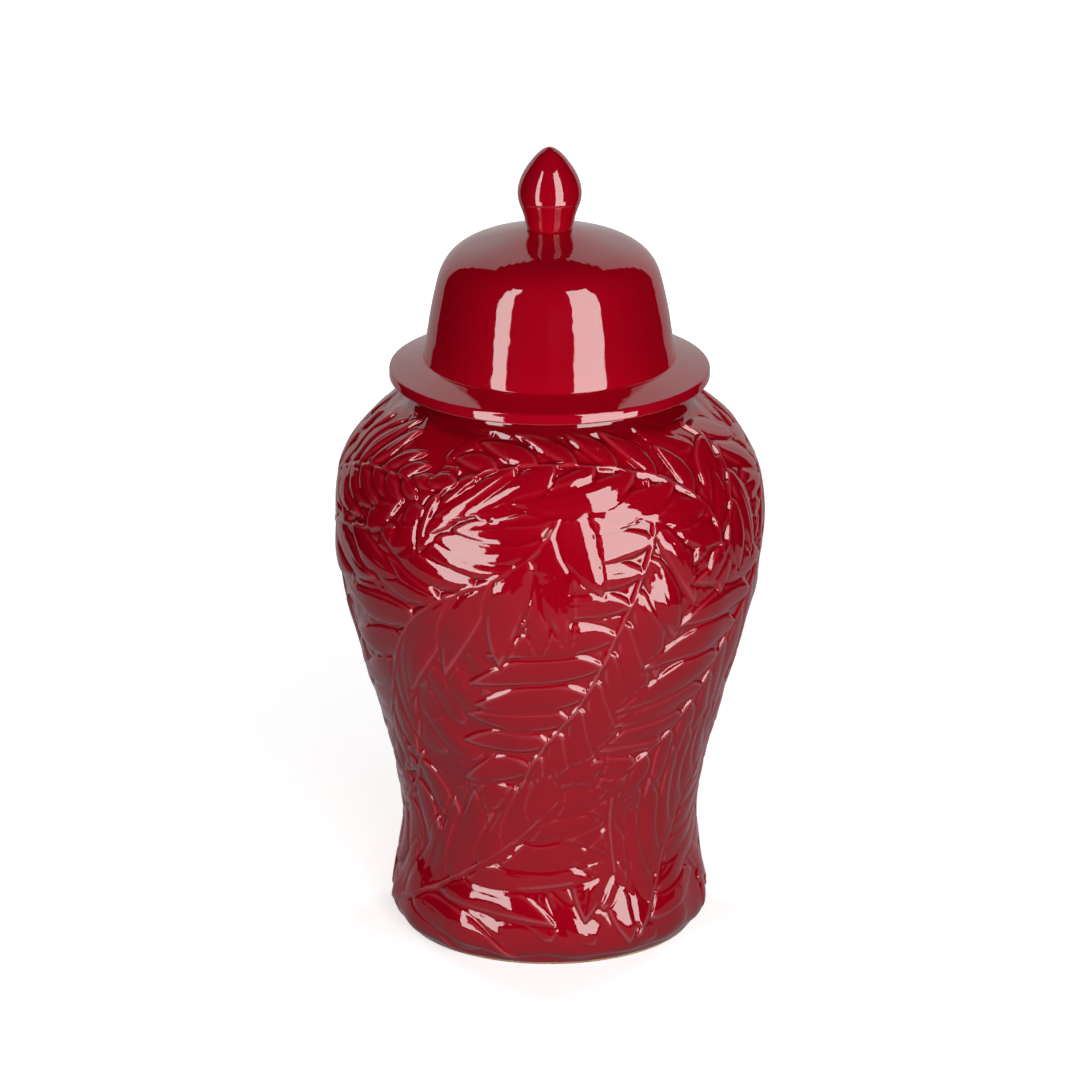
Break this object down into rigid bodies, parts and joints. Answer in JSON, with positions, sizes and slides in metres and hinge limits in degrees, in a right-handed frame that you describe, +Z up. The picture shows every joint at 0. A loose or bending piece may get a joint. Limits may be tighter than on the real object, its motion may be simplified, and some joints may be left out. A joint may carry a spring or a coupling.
{
  "type": "ginger jar",
  "caption": "Lidded baluster jar in glazed stoneware with leaf relief on the body; the domed lid lifts off and a ring under it centres it in the neck.",
  "frame": {"origin": "middle of the foot, on the surface the jar stands on", "axes": "+Z up along the axis of the jar and lid, +X to the right and -Y towards the viewer; the solids are turned about Z, so X and Y are set by the leaf relief only"},
  "size_m": [0.245, 0.245, 0.46],
  "materials": {
    "red_glaze": "high gloss",
    "bare_clay": "matt, unglazed"
  },
  "bodies": {
    "jar": {"jar_body": "red_glaze", "foot_ring": "bare_clay"},
    "lid": {"lid_shell": "red_glaze", "lid_locating_ring": "bare_clay", "lid_knob": "red_glaze"}
  },
  "joints": [
    {"name": "lid_lift", "type": "slide", "parent": "jar", "child": "lid", "axis": [0, 0, 1], "range_m": [0, 0.16]}
  ]
}
